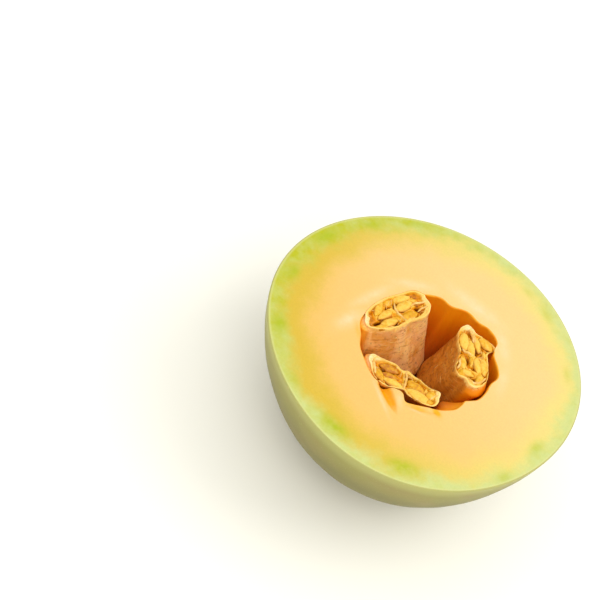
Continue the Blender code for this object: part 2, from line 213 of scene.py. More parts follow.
RIGHT = {
    "planes": (332, 90),
    "foot": ((10.2, 8.5), (13, 9), 117),
    "bulges": ((312, 26, 4, 0.4, 5), (155, 40, -1.3, 0.4, 6)),
    "folds": ((150, 10, 0.6), (185, 16, -0.5), (222, 9, 0.5), (250, 10, -0.3)),
    "ripe": 1,
    "threads": 24,
    "stain_and_glow": 0.78,
    "outline": (
        (11.8, 24.6), (9.5, 22), (9.2, 18.6), (10.1, 15.2), (11.5, 11.8), (13.5, 8.6), (14.9, 5.4),
        (15.7, 2.2), (16.2, -1.2), (17.6, -4), (20.4, -4.9), (23.4, -4.9), (25.6, -6.5), (28.4, -6.1),
        (30.8, -3.4), (31.6, 0), (31.1, 3.6), (29.9, 7), (27.9, 11), (26.5, 13.8), (26.4, 16.4), (27.6, 19),
        (26.4, 21.4), (23, 22.6), (19.4, 22.6), (16.6, 22.6), (14.6, 23.8),
    ),
    "rim": (
        (12.6, 22.4, 3.2, 1.9, 0.7), (27.5, -5.6, 3, 0.7, 0.2), (30.8, 4, 5, -0.8, -0.3),
        (26.5, 20, 4, -0.7, -0.2), (10.4, 14, 4, -0.7, -0.7), (14.8, 5.5, 4, -0.8, -0.9),
        (16.6, -2.5, 3, -0.6, -0.6), (22, -5, 2, 0.4, 0.1),
    ),
    "seeds": (
        (13.8, 14.3, 298, 10, 4.7, 9, 0.9, 0.1), (18, 12.6, 118, 10.5, 3.5, -9, 0.8, 0.15),
        (19.6, 16.6, 305, 9, 3, 9, 0.9, 0.3), (23, 19.6, 340, 8.6, 4.5, 4, 0.9, 0.55),
        (24, 6.3, 118, 9.2, 3.7, 9, 0.9, 0.15), (27.3, 7.2, 295, 10, 4.1, -6, 1.2, 0.35),
        (17.9, 3.4, 113, 8.6, 3.2, -9, 1.3, 0.4), (21, 7.2, 116, 7.5, 2.4, 0, 1.5, 0.6),
        (19.9, -1.6, 100, 6.6, 3.4, -6, 1.4, 0.9), (22.2, -0.7, 12, 7, 3.2, 0, 1.2, 0.2),
        (28.4, -0.9, 280, 8.8, 3.3, 9, 1.2, 0.6), (25.6, -4.4, 150, 6, 2.8, 0, 1.4, 0.2),
        (24.6, 13.8, 125, 5, 2.2, 0, 1.7, 0.4),
    ),
    "hollows": (
        (18.9, 5.7, 1.3, 1, 110, 2.6), (24.4, 14.4, 2.6, 0.8, 135, 2.4), (20.9, 12, 1.6, 0.7, 110, 2.2),
        (17.9, 19, 2.2, 0.5, 130, 1.8), (25.6, -2.2, 1.3, 0.8, 20, 2), (22.5, 3, 1.6, 0.6, 35, 1.4),
        (15.3, 8.6, 1.2, 0.7, 30, 1.5), (20.4, -5, 1.6, 0.7, 20, 1),
    ),
    "webs": (
        ((15.5, 9), (20.2, 9.4)), ((20.2, 9.4), (24.4, 10.4)), ((16, 20.5), (20.5, 15)),
        ((19, 1.6), (26, 1.6)), ((22.2, 2), (21, 9)),
    ),
    "strands": (
        (1.6, (13.6, 23), (15.6, 20.6), (17.8, 18.2), (20.6, 15.2), (23.4, 13.6)),
        (1.4, (12.6, 22.4), (14.6, 20.8), (16.4, 18.8), (17.4, 16.6)),
        (1.3, (14.6, 9.8), (16.4, 9), (18.2, 9.6), (20.6, 9)),
        (1.4, (30.4, 2), (29.2, -2.2), (26.6, -4.6), (23.4, -3.6)), (1.2, (15.8, 4), (17, 1.2), (17.2, -2)),
    ),
}
NEAR = {
    "planes": (208, 332),
    "foot": ((1, -12), (10, 5), 0),
    "bulges": ((328, 22, -2, 0.6, 2.4), (190, 30, 2.8, 1.1, 2.6)),
    "folds": ((60, 20, 0.4), (120, 20, -0.4)),
    "ripe": 1,
    "threads": 10,
    "stain_and_glow": 0.9,
    "outline": (
        (-19.4, -23.4), (-17.5, -20.6), (-12.5, -20.2), (-8, -18.9), (-4, -19.4), (-0.7, -18.4), (3, -19.4),
        (7.5, -19.6), (12, -20.4), (16.2, -19.4), (17.6, -23), (17.4, -27.4), (14.6, -29.6), (10, -30.3),
        (5, -30.4), (1.8, -29.2), (-2.2, -30.8), (-7.6, -32.4), (-12.4, -31.2), (-16.8, -26.8),
    ),
    "rim": (
        (-16.8, -23.6, 3.2, 2.4, 0.9), (16.4, -21.6, 3, 1.6, 0.4), (-1.2, -19.2, 3, 0.9, 0.1),
        (-11.5, -30.6, 4, -0.6, 0), (-4.5, -31.2, 3.5, -0.6, 0.1), (-11, -20, 4, -0.3, 0.1),
        (10.5, -20.3, 4, -0.3, 0.1), (8, -30.2, 5, -0.7, 0),
    ),
    "seeds": (
        (-3.4, -28.6, 6, 10, 4, -12, 1, 0.15), (-10.8, -28.6, 322, 7.5, 3.6, -10, 1.1, 1),
        (-8.4, -22.3, 194, 10, 4.2, 12, 1.3, 1.7), (-6.4, -25.4, 12, 8.8, 3, 0, 2, 1.6),
        (8, -27.6, 178, 12, 4.4, -8, 0.9, 0), (6.2, -23.6, -6, 10.5, 4, 9, 1.3, 1.1),
        (13.4, -23.4, 85, 6, 4.2, 0, 1.1, 0.8), (14.2, -27.2, 30, 4.5, 2.6, 0, 1.2, 1),
    ),
    "hollows": (
        (-8.6, -24.6, 3.6, 0.9, 22, 2.6), (-7.6, -26.9, 2.4, 0.5, 8, 1.4), (1, -23, 1.6, 1.1, 100, 1.4),
        (5.6, -21.6, 3, 0.6, 175, 1.4), (8.6, -24.9, 2.6, 0.5, 178, 1.6), (13.6, -27.4, 1.6, 0.6, 40, 1.4),
    ),
    "webs": (((-2.6, -20), (-0.4, -23.6)), ((-0.4, -23.6), (0.6, -27.6)), ((10.4, -21.4), (10, -25.6))),
    "strands": (
        (1.7, (-17, -22), (-15.8, -25), (-14, -27.6), (-12.2, -29.4)),
        (1.3, (-1.4, -19.4), (0.2, -22.4), (1, -25.6), (1.6, -28.6)),
        (1.2, (16.4, -21), (14.6, -23.4), (13.8, -26)),
    ),
}
BUNDLES = {"left": LEFT, "right": RIGHT, "near": NEAR}

# How deep a bundle reaches, and from which share of that depth it rounds off, down to the end's share of
# its section. Bulges on its flank fade between the two depths.
BUNDLE_HEIGHT = 38
ROUND_FROM = 0.72
ROUND_END = 0.4
BULGE_FADE = (34, 18)

# The knife rounded the sheath's edge over this depth, and the rest of the side starts below it.
SIDE_TOP = 0.55

# In a bundle's pit: its least and greatest depth, how high the gel is drawn up round each seed and over
# what share of the seed's size, and how high and wide the webs are.
PIT_LIMITS = (0.35, 4.6)
GEL_HEIGHT = 0.75
GEL_SHARE = 0.16
WEB_HEIGHT = 1.5
WEB_HALF = 0.55

# How far about the meeting point the sheaths gather dark specks, as painted shade where the bundles meet.
SPECK_SHADE_REACH = 7

# The dents of a seed, as shares of its size, each with the size of its lumps in mm.
SEED_DENTS = ((0.14, 2), (0.04, 0.8))

# How fine the meshes are, in rings along each part and in points round them.
MELON_SEGMENTS = 400
MELON_RINGS = {"rest": 12, "rind": 66, "rim": 5, "face": 96, "lip": 6, "wall": 56}
BUNDLE_SEGMENTS = 240
SIDE_RINGS = 96
TOP_RINGS = 72
SEED_RINGS = 30
SEED_SEGMENTS = 24
FIBRE_SEGMENTS = 6


def linear(colour):
    """The linear values of an sRGB colour told in hex."""
    shares = [int(colour[i : i + 2], 16) / 255 for i in (1, 3, 5)]
    return tuple(s / 12.92 if s <= 0.04045 else ((s + 0.055) / 1.055) ** 2.4 for s in shares)


def size_property(name, description, mm):
    return bpy.props.FloatProperty(name=name, description=description, default=mm * MM, min=0, unit="LENGTH")


def colour_property(name, description, colour):
    return bpy.props.FloatVectorProperty(
        name=name, description=description, default=linear(colour), min=0, max=1, size=3, subtype="COLOR"
    )


class MelonSizes(bpy.types.PropertyGroup):
    face_radius: size_property("Cut radius", "The melon's radius at the cut", 75)
    half_length: size_property("Half length", "Half the whole melon's length", 83)
    cut_offset: size_property("Cut offset", "How far the cut lies off the melon's middle", 10)
    rest_radius: size_property("Rest spot", "The radius of the flat spot that it rests on", 10)
    cavity_depth: size_property("Cavity depth", "How deep the seed cavity is under the cut", 45)
    rim_rounding: size_property("Rim rounding", "The radius of the edge between rind and cut", 0.5)


class BundleSizes(bpy.types.PropertyGroup):
    rim_width: size_property("Sheath rim", "The sheath's thickness where the knife cut it", 1.0)
    pit_depth: size_property("Pit depth", "How deep the pulp lies under the rim", 2.0)
    seed_thickness: size_property("Seed thickness", "How thick a seed is with its gel", 2.8)
    fibre_thickness: size_property("Fibre thickness", "The diameter of a loose fibre", 0.36)
    fibre_count: bpy.props.IntProperty(
        name="Fibres", description="How many loose fibres lie on each bundle's cut", default=24, min=0
    )


class MelonColours(bpy.types.PropertyGroup):
    flesh_ripe: colour_property("Ripe flesh", "Flesh about the cavity on the melon's riper side", "#e5b764")
    flesh: colour_property("Flesh", "Flesh about the cavity on the other side", "#e6c37e")
    flesh_orange: colour_property("Orange flesh", "Flesh inside the green on the riper side", "#cfae36")
    flesh_yellow: colour_property("Yellow flesh", "Flesh inside the green on the other side", "#decd72")
    flesh_green: colour_property("Green flesh", "Firm flesh under the rind on the riper side", "#b4b40e")
    flesh_lime: colour_property("Lime flesh", "Firm flesh under the rind on the other side", "#c3ca7e")
    # Pale flesh is partly the flesh's own white fibres and partly painted wet sheen.
    flesh_pale_and_sheen: colour_property("Pale flesh", "Where fibres make the flesh white", "#ecd4aa")
    skin: colour_property("Skin line", "The skin's own cut edge", "#cbcb84")
    rind: colour_property("Rind", "The waxy rind near the cut", "#969048")
    # Low rind is painted shade on the rind further down.
    rind_low_shade: colour_property("Low rind", "The rind further down", "#7b7439")
    rind_blush: colour_property("Rind blush", "Tan mottling on the rind", "#937f49")
    pulp: colour_property("Cavity wall", "The deep orange wall of the cavity", "#ea8800")
    # The cavity foot colour is partly the wall's deeper orange and partly painted shade far down in the
    # cavity.
    pulp_deep_shade: colour_property("Cavity foot", "The wall far down in the cavity", "#ae4a00")
    sheath: colour_property("Sheath", "The bundles' fibrous sides", "#efb162")
    sheath_dark: colour_property("Dark sheath", "Brown streaks in the sheath", "#a9611e")
    sheath_rim: colour_property("Cut rim", "The sheath where the knife cut it", "#ebbb56")
    gel: colour_property("Seed gel", "The wet pulp between the seeds", "#e59404")
    # The deep gel colour is painted shade at the bottom of the gaps.
    gel_deep_shade: colour_property("Deep gel", "The pulp at the bottom of the gaps", "#743000")
    seed: colour_property("Seed", "A pale seed", "#efbf4a")
    seed_yellow: colour_property("Yellow seed", "A seed under a film of yellow gel", "#dda000")


GROUPS = {"melon_sizes": MelonSizes, "bundle_sizes": BundleSizes, "melon_colours": MelonColours}


# Nodes and materials

def add_node(tree, kind, inputs=(), output=None, stops=(), **settings):
    """Adds a node with its settings, then sets or links its inputs, told by name or in Blender's order.

    It gives the output of this name, or else the first one that the settings leave."""
    node = tree.nodes.new("ShaderNode" + kind)
    for name, value in settings.items():
        setattr(node, name, value)
    shown = [one for one in node.inputs if one.enabled]
    for key, value in inputs.items() if isinstance(inputs, dict) else enumerate(inputs):
        socket = node.inputs[key] if isinstance(key, str) else shown[key]
        if isinstance(value, bpy.types.NodeSocket):
            tree.links.new(value, socket)
        elif socket.type == "RGBA":
            socket.default_value = (*value, 1)
        else:
            socket.default_value = value
    for number, (place, colour) in enumerate(stops):
        ramp = node.color_ramp
        element = ramp.elements[number] if number < 2 else ramp.elements.new(place)
        element.position = place
        element.color = (*colour, 1)
    return node.outputs[output] if output else next(one for one in node.outputs if one.enabled)


def start_material(name, roughness, ior, coat=0.0, coat_roughness=0.1, subsurface=0.0, depth=2.0):
    """A new material, what adds a node to it, and the place of each point in mm."""
    made = bpy.data.materials.new(name)
    made.use_nodes = True
    shader = made.node_tree.nodes["Principled BSDF"]
    for socket, value in {
        "Roughness": roughness,
        "IOR": ior,
        "Coat Weight": coat,
        "Coat Roughness": coat_roughness,
        "Subsurface Weight": subsurface,
        "Subsurface Radius": (1.0, 0.5, 0.2),
        "Subsurface Scale": depth * MM,
    }.items():
        shader.inputs[socket].default_value = value
    node = partial(add_node, made.node_tree)
    where = node("TexCoord", output="Object")
    place = node("VectorMath", (where, (1 / MM, 1 / MM, 1 / MM)), operation="MULTIPLY")
    return made, node, place


def finish_material(made, colour, tints=(), relief=None, height=0.0, strength=0.0):
    """Gives a material its colour, with the tints over it, and its relief of at most this height in mm."""
    tree = made.node_tree
    shader = tree.nodes["Principled BSDF"]
    for amount, tint in tints:
        colour = add_node(tree, "Mix", (amount, colour, tint), data_type="RGBA")
    tree.links.new(colour, shader.inputs["Base Color"])
    if relief is not None:
        bump = add_node(tree, "Bump", {"Height": relief, "Distance": height * MM, "Strength": strength})
        tree.links.new(bump, shader.inputs["Normal"])
    return made


def flesh_material(colours):
    """Ripe melon flesh under a knife's cut: close-grained, wet and a little translucent. The eye sees soft
    bands of colour that wander round the fruit, riper on one side, with a fine grain and a quiet gloss."""
    made, node, place = start_material("ripe_flesh", 0.45, 1.34, subsurface=0.12, depth=3.0)
    from_rim = node("Attribute", output="Fac", attribute_name="from_rim")
    drift = node("TexNoise", (place, 1 / 17, 2.0))
    mottle = node("TexNoise", (place, 1 / 4.5, 3.0))

    # How ripe the flesh is about the cavity, and how green it is under the rind, each along its own way.
    ripeness = {}
    for name, way, low, high in (
        ("inner", (-0.55, -0.8, 0.0), -48.0, 48.0),
        ("middle", (-0.8, -0.5, 0.0), -55.0, 55.0),
        ("outer", (-0.97, 0.22, 0.0), -26.0, 116.0),
    ):
        along = node("VectorMath", (place, way), operation="DOT_PRODUCT")
        ripeness[name] = node("MapRange", (along, low, high), interpolation_type="SMOOTHSTEP")
    wander = node("Math", (drift, 12.0, -6.0), operation="MULTIPLY_ADD")
    wander = node("Math", (mottle, 7.0, wander), operation="MULTIPLY_ADD")
    wander = node("Math", (ripeness["outer"], -4.0, wander), operation="MULTIPLY_ADD")
    reach = node("Math", (from_rim, wander), operation="ADD")
    further = node("Math", (ripeness["middle"], -6.0, reach), operation="MULTIPLY_ADD")
    patchy = node("TexNoise", (place, 1 / 5.0, 2.5))
    patchy = node("Math", (patchy, 1.1, -0.5), operation="MULTIPLY_ADD")
    ripeness["outer"] = node("Math", (ripeness["outer"], patchy), operation="ADD", use_clamp=True)
    bands = {}
    for name, one, other in (
        ("inner", colours.flesh, colours.flesh_ripe),
        ("middle", colours.flesh_yellow, colours.flesh_orange),
        ("outer", colours.flesh_lime, colours.flesh_green),
    ):
        bands[name] = node("Mix", (ripeness[name], one, other), data_type="RGBA")
    colour = bands["outer"]
    for name, way, start, end in (("middle", reach, 3.3, 13.6), ("inner", further, 6.8, 24.5)):
        share = node("MapRange", (way, start, end), interpolation_type="SMOOTHSTEP")
        colour = node("Mix", (share, colour, bands[name]), data_type="RGBA")

    broken = node("MapRange", (mottle, 0.3, 0.6, 0.55, 1.0))
    for stain, tint in (
        ("green_stain", linear("#a4b204")),
        # Pale marks: partly pale flesh, partly painted sheen and painted highlight.
        ("pale_and_sheen_mark", colours.flesh_pale_and_sheen),
        ("yellow_stain", linear("#e2a60a")),
        ("torn", linear("#e99d00")),
    ):
        mask = node("Attribute", output="Fac", attribute_name=stain)
        amount = node("Math", (mask, broken), operation="MULTIPLY", use_clamp=True)
        colour = node("Mix", (amount, colour, tint), data_type="RGBA")
    skin = node("MapRange", (from_rim, 0.3, 1.3, 0.55, 0.0), interpolation_type="SMOOTHSTEP")
    colour = node("Mix", (skin, colour, colours.skin), data_type="RGBA")
    grain = node("TexNoise", (place, 1 / 0.9, 4.0))
    light = node("MapRange", (grain, 0.3, 0.7, 0.96, 1.02))
    colour = node("VectorMath", (colour, light), operation="SCALE")
    return finish_material(made, colour, relief=grain, height=0.12, strength=0.6)


def rind_material(colours):
    """A honeydew's rind: a smooth, hard skin under a thin bloom of wax. The eye sees a broad soft gloss on
    a pale green, painted lighter beside the cut as painted light and darker further down as painted shade,
    mottled with tan and sprinkled with fine pores."""
    made, node, place = start_material("waxy_rind", 0.5, 1.4, 0.02, 0.4, subsurface=0.08)
    height = node("SeparateXYZ", (place,), output="Z")
    mottle = node("TexNoise", (place, 1 / 16, 5.0))
    # The rind is painted darker further down, as painted shade, and lighter beside the cut, as painted light.
    level = node("Math", (mottle, 14.0, height), operation="MULTIPLY_ADD")
    low = node("MapRange", (level, CUT_HEIGHT + 3, CUT_HEIGHT - 20), interpolation_type="SMOOTHSTEP")
    lit_beside_cut = (height, CUT_HEIGHT - 8, CUT_HEIGHT - 0.5, 0, 0.75)
    pores = node("TexVoronoi", (place, 1 / 1.5))
    tints = (
        (low, colours.rind_low_shade),
        (node("MapRange", (mottle, 0.5, 0.72, 0, 0.55)), colours.rind_blush),
        (node("MapRange", lit_beside_cut, interpolation_type="SMOOTHSTEP"), linear("#b2b066")),
        (node("MapRange", (pores, 0.0, 0.22, 0.3, 0.0)), linear("#cfc890")),
        (node("Attribute", output="Fac", attribute_name="scar"), linear("#8d7a4a")),
    )
    skin = node("TexNoise", (place, 1 / 2.5, 4.0))
    return finish_material(made, colours.rind, tints, skin, 0.15, 0.35)


def pulp_material(colours):
    """The cavity's wall: soft, wet flesh that never met the knife. The eye sees a deep orange with upright
    folds and a gloss. Its top is painted lighter as painted light, and it is darker further down, partly its
    own deeper orange and partly painted shade."""
    made, node, place = start_material("cavity_pulp", 0.45, 1.36, 0.08, 0.3, subsurface=0.15, depth=2.5)
    height = node("SeparateXYZ", (place,), output="Z")
    depth = node("Math", (CUT_HEIGHT, height), operation="SUBTRACT")
    drawn = node("VectorMath", (place, (1.0, 1.0, 0.15)), operation="MULTIPLY")
    folds = node("TexNoise", (drawn, 1 / 4, 4.0))
    # The colour runs by depth: a top painted lighter as painted light, then the wall's orange, then darker
    # further down, partly its own deeper colour and partly painted shade.
    warp = node("Math", (folds, 8.0, depth), operation="MULTIPLY_ADD")
    share = node("MapRange", (warp, 3.5, 40.0))
    stops = (
        (0.0, linear("#f0a41e")),
        (0.05, linear("#ec8e06")),
        (0.2, colours.pulp),
        (0.5, linear("#d06600")),
        (0.8, colours.pulp_deep_shade),
    )
    colour = node("ValToRGB", (share,), stops=stops)
    # The ledge is painted darker: painted shade.
    ledge = node("Attribute", output="Fac", attribute_name="ledge")
    ledge = node("MapRange", (ledge, 0.15, 0.7, 0, 0.8))
    return finish_material(made, colour, [(ledge, linear("#bc5c00"))], folds, 0.5, 0.4)


def sheath_material(colours):
    """A seed bundle's sheath: thin, moist plant skin over packed seeds. The eye sees upright folds that run
    from tan to pink, painted darker in the folds as painted shade and paler on the crests as painted light,
    fine cross fibres, brown bruises and dark specks that gather where the bundles meet as painted shade,
    orange beside the cavity's wall that is partly a stain and partly painted light, and a pale edge where it
    was cut."""
    made, node, place = start_material("seed_sheath_skin", 0.55, 1.36, 0.04, 0.3, subsurface=0.15, depth=1.5)
    fold, ripe, bruised, beside_wall, white = (
        node("Attribute", output="Fac", attribute_name=name)
        for name in ("fold", "ripe", "bruised", "beside_wall", "white")
    )
    height = node("SeparateXYZ", (place,), output="Z")
    depth = node("Math", (CUT_HEIGHT, height), operation="SUBTRACT")
    fine = node("VectorMath", (place, (0.9, 0.9, 0.1)), operation="MULTIPLY")
    threads = node("TexNoise", (fine, 1.0, 3.0))
    shade = node("Math", (threads, 0.9, -0.45), operation="MULTIPLY_ADD")
    shade = node("Math", (shade, fold), operation="ADD")
    # The fold ramp is partly the sheath's own tan and brown, and partly painted shade in the folds and
    # painted light on the crests.
    share = node("MapRange", (shade, -0.6, 0.7))
    stops = (
        (0.1, linear("#d89038")),
        (0.45, colours.sheath),
        (0.72, linear("#e9ae60")),
        (0.95, linear("#efba70")),
    )
    folded = node("ValToRGB", (share,), stops=stops)
    slow = node("TexNoise", (place, 1 / 7, 2.0))
    pink = node("MapRange", (slow, 0.45, 0.6, 0, 0.6))
    folded = node("Mix", (pink, folded, linear("#e8aa70")), data_type="RGBA")
    bruises = node("TexNoise", (place, 1 / 3.2, 4.0))
    patches = node("MapRange", (bruises, 0.36, 0.64))
    turned = node("Mix", (patches, linear("#bc6e10"), linear("#d88a28")), data_type="RGBA")
    colour = node("Mix", (ripe, folded, turned), data_type="RGBA")

    # Fine fibres run across the folds, some dark and some pale, and quieter where the sheath has turned.
    across = node("VectorMath", (place, (0.22, 0.22, 1.5)), operation="MULTIPLY")
    fibres = node("TexNoise", {"Vector": across, "Scale": 1.0, "Detail": 4.0, "Distortion": 0.5})
    quiet = node("Math", (ripe, -0.4, 1.0), operation="MULTIPLY_ADD")
    dark = node("MapRange", (fibres, 0.44, 0.33, 0, 0.6))
    pale = node("MapRange", (fibres, 0.56, 0.68, 0, 0.3))

    # Dark specks, real on the sheaths, gather about the meeting point as painted shade where the bundles
    # meet.
    specks = node("TexNoise", (place, 1 / 1.4, 2.0))
    specks = node("Math", (bruised, 0.2, specks), operation="MULTIPLY_ADD")
    # Orange beside the wall: partly the wall's real stain, partly painted light that stands in for the glow
    # in the narrow gap.
    orange = node("Mix", (ripe, linear("#ffb62a"), linear("#ee9000")), data_type="RGBA")
    ragged = node("Math", (threads, -3.0, depth), operation="MULTIPLY_ADD")
    rim = node("MapRange", (ragged, -0.9, 0.9, 1.0, 0.0), interpolation_type="SMOOTHSTEP")
    plain = node("MapRange", (white, 0.0, -1.0, 1.0, 0.15))
    tints = (
        (node("Math", (dark, quiet), operation="MULTIPLY"), colours.sheath_dark),
        (node("Math", (pale, quiet), operation="MULTIPLY"), linear("#f2cc88")),
        (node("MapRange", (specks, 0.6, 0.7, 0, 0.45)), linear("#80480c")),
        (beside_wall, orange),
        (node("Math", (rim, plain), operation="MULTIPLY"), linear("#fbcc68")),
        (white, linear("#f6deaa")),
    )
    return finish_material(made, colour, tints, fibres, 0.3, 0.5)


def gel_material(colours):
    """The pulp between the seeds: a wet gel full of torn fibres. The eye sees glossy orange that is painted
    brown where the gaps run deep, as painted shade, with paler skins standing up in it."""
    made, node, place = start_material("seed_gel", 0.4, 1.34, 0.06, 0.2, subsurface=0.1, depth=1.5)
    deep, white = (node("Attribute", output="Fac", attribute_name=name) for name in ("deep", "white"))
    torn = node("TexNoise", (place, 1 / 1.3, 4.0))
    # The gel's colour runs darker with depth: painted shade down in the gaps between the seeds.
    warp = node("Math", (torn, 1.2, deep), operation="MULTIPLY_ADD")
    share = node("MapRange", (warp, 0.3, 5.0))
    stops = (
        (0.05, colours.sheath_rim),
        (0.2, linear("#e9b22e")),
        (0.4, colours.gel),
        (0.74, colours.gel_deep_shade),
    )
    colour = node("ValToRGB", (share,), stops=stops)
    strands = node("MapRange", (torn, 0.35, 0.55))
    pale = node("Math", (white, strands), operation="MULTIPLY")
    return finish_material(made, colour, [(pale, linear("#f6deaa"))], torn, 0.4, 0.5)


def seed_material(colours):
    """A melon seed in its film of gel: a smooth woody coat, plump and pale with a raised seam. The eye sees
    cream that goes yellow, and brown at the seam and the point, partly the seam's own colour and partly
    painted shade round the seed's edges, under a wet gloss."""
    made, node, place = start_material("gel_coated_seed", 0.4, 1.36, 0.12, 0.2, subsurface=0.15, depth=1.2)
    tone, seam = (node("Attribute", output="Fac", attribute_name=name) for name in ("tone", "seam"))
    cloud = node("TexNoise", (place, 1 / 1.8, 3.0))
    cloud = node("Math", (cloud, 1.5, -0.75), operation="MULTIPLY_ADD")
    film = node("Math", (tone, 0.5, cloud), operation="MULTIPLY_ADD")
    stops = ((0.0, colours.seed), (0.5, colours.seed_yellow), (0.95, linear("#bb6e04")))
    colour = node("ValToRGB", (film,), stops=stops)
    # Brown at the seam and point: partly the seam's colour, partly painted shade round the seed's outline.
    edge = node("MapRange", (seam, 0.3, 0.95, 0, 0.85))
    grain = node("TexNoise", (place, 1 / 0.7, 2.0))
    return finish_material(made, colour, [(edge, linear("#b86c0e"))], grain, 0.1, 0.4)


def fibre_material():
    """Loose fibres of the bundle: thin, damp threads. The eye sees pale cream lines that go orange in
    places."""
    made, node, place = start_material("pulp_fibre", 0.45, 1.38, subsurface=0.2, depth=0.6)
    drift = node("TexNoise", (place, 1 / 3, 2.0))
    share = node("MapRange", (drift, 0.35, 0.65))
    colour = node("Mix", (share, linear("#dca03c"), linear("#f0ca7c")), data_type="RGBA")
    return finish_material(made, colour)


# Shapes

def smooth(low, high, value):
    """0 below low, 1 above high, and an even S between them."""
    share = np.clip((value - low) / (high - low), 0, 1)
    return share * share * (3 - 2 * share)


def bell(value):
    """1 at 0, and falling away to 0 on both sides of it."""
    return np.exp(-(value**2))


def unit(ways):
    """The ways, each one long."""
    return ways / np.linalg.norm(ways, axis=-1, keepdims=True)


def round_turns(count):
    """This many angles, evenly round a full turn."""
    return np.arange(count) * TAU / count


def rotation(z, x, y):
    """A rotation of so many degrees about Y, then X, then Z."""
    return (
        Matrix.Rotation(math.radians(z), 3, "Z")
        @ Matrix.Rotation(math.radians(x), 3, "X")
        @ Matrix.Rotation(math.radians(y), 3, "Y")
    )


def lumps(points, size, seed):
    """Noise from about -1 to 1 at each point, with lumps of this size in mm, or of a size along each axis."""
    places = np.asarray(points, float) / np.asarray(size, float) + seed * 17.31
    flat = places.reshape(-1, 3).tolist()
    return np.array([noise.noise(place) for place in flat]).reshape(places.shape[:-1])


def uneven(points, surface):
    """How far a surface stands out at each point by its own lumps."""
    return sum(height * lumps(points, size, seed) for height, size, seed in LUMPS[surface])


def turned_to(x, y, middle_x, middle_y, direction):
    """Each point's way from a middle, along a direction in degrees and across it."""
    turn = math.radians(direction)
    x, y = x - middle_x, y - middle_y
    return x * math.cos(turn) + y * math.sin(turn), y * math.cos(turn) - x * math.sin(turn)


def stain_share(x, y, middle_x, middle_y, half_length, half_width, direction, strength):
    """How strongly a long spot shows at each point, from 0 to its strength."""
    along, across = turned_to(x, y, middle_x, middle_y, direction)
    return strength * bell(np.hypot(along / half_length, across / half_width))


def round_share(x, y, middle, reach):
    """How strongly a round spot shows at each point, from 0 to 1."""
    return bell(np.hypot(x - middle[0], y - middle[1]) / reach)


def angle_share(angle, direction, reach):
    """How strongly a spot at a direction shows at each angle, with its reach in degrees."""
    apart = (np.degrees(angle) - direction + 180) % 360 - 180
    return bell(apart / reach)


def from_line(x, y, start, end):
    """Each point's distance from a line between two points, and its share of the way along."""
    run = np.array(end, float) - start
    share = np.clip(((x - start[0]) * run[0] + (y - start[1]) * run[1]) / (run @ run), 0, 1)
    return np.hypot(x - start[0] - share * run[0], y - start[1] - share * run[1]), share


class Outline:
    """A closed smooth outline through points, told as a radius at each angle round its middle."""

    def __init__(self, points, middle=None):
        points = np.array(points, float)
        self.middle = points.mean(axis=0) if middle is None else np.array(middle, float)
        spokes = points - self.middle
        angles = np.arctan2(spokes[:, 1], spokes[:, 0]) % TAU
        order = np.argsort(angles)
        self.angles = angles[order]
        self.radii = np.hypot(*spokes[order].T)

    def radius(self, angle):
        """The radius at each angle, by a curve through the four nearest points."""
        angle = np.asarray(angle) % TAU
        count = len(self.angles)
        steps = np.searchsorted(self.angles, angle, side="right")[..., None] + np.arange(-2, 2)
        a0, a1, a2, a3 = np.moveaxis(self.angles[steps % count] + TAU * (steps // count), -1, 0)
        r0, r1, r2, r3 = np.moveaxis(self.radii[steps % count], -1, 0)
        span = a2 - a1
        share = (angle - a1) / span
        slope1 = (r2 - r0) / (a2 - a0) * span
        slope2 = (r3 - r1) / (a3 - a1) * span
        square, cube = share**2, share**3
        return (
            r1 * (2 * cube - 3 * square + 1)
            + slope1 * (cube - 2 * square + share)
            + r2 * (3 * square - 2 * cube)
            + slope2 * (cube - square)
        )


CAVITY = Outline(CAVITY_OUTLINE, middle=(0, 0))


def ledge_share(angle, depth):
    """How much of the ledge shows in the cavity's wall at an angle and a depth."""
    spread = angle_share(angle, LEDGE_DIRECTION, LEDGE_SPREAD)
    return spread * smooth(0, LEDGE_DEPTH, depth) * smooth(*LEDGE_FADE, depth)


def cavity_radius(angle, depth, cavity_depth):
    """The radius of the cavity's wall, with its upright folds, at an angle and a depth."""
    plain = CAVITY.radius(angle) * np.sqrt(np.clip(1 - (depth / cavity_depth) ** 2, 0, 1))
    folds = uneven(upright(WALL_RADIUS * np.cos(angle), WALL_RADIUS * np.sin(angle), depth), "wall")
    folds = folds * smooth(0.3, 5, depth) * plain / WALL_RADIUS
    return plain + folds - LEDGE_REACH * ledge_share(angle, depth)


def from_outline(x, y, outline):
    """How far each point lies outside a bundle's outline, or 0 inside it."""
    cut = Outline(outline)
    spoke_x, spoke_y = x - cut.middle[0], y - cut.middle[1]
    return np.clip(np.hypot(spoke_x, spoke_y) - cut.radius(np.arctan2(spoke_y, spoke_x)), 0, None)


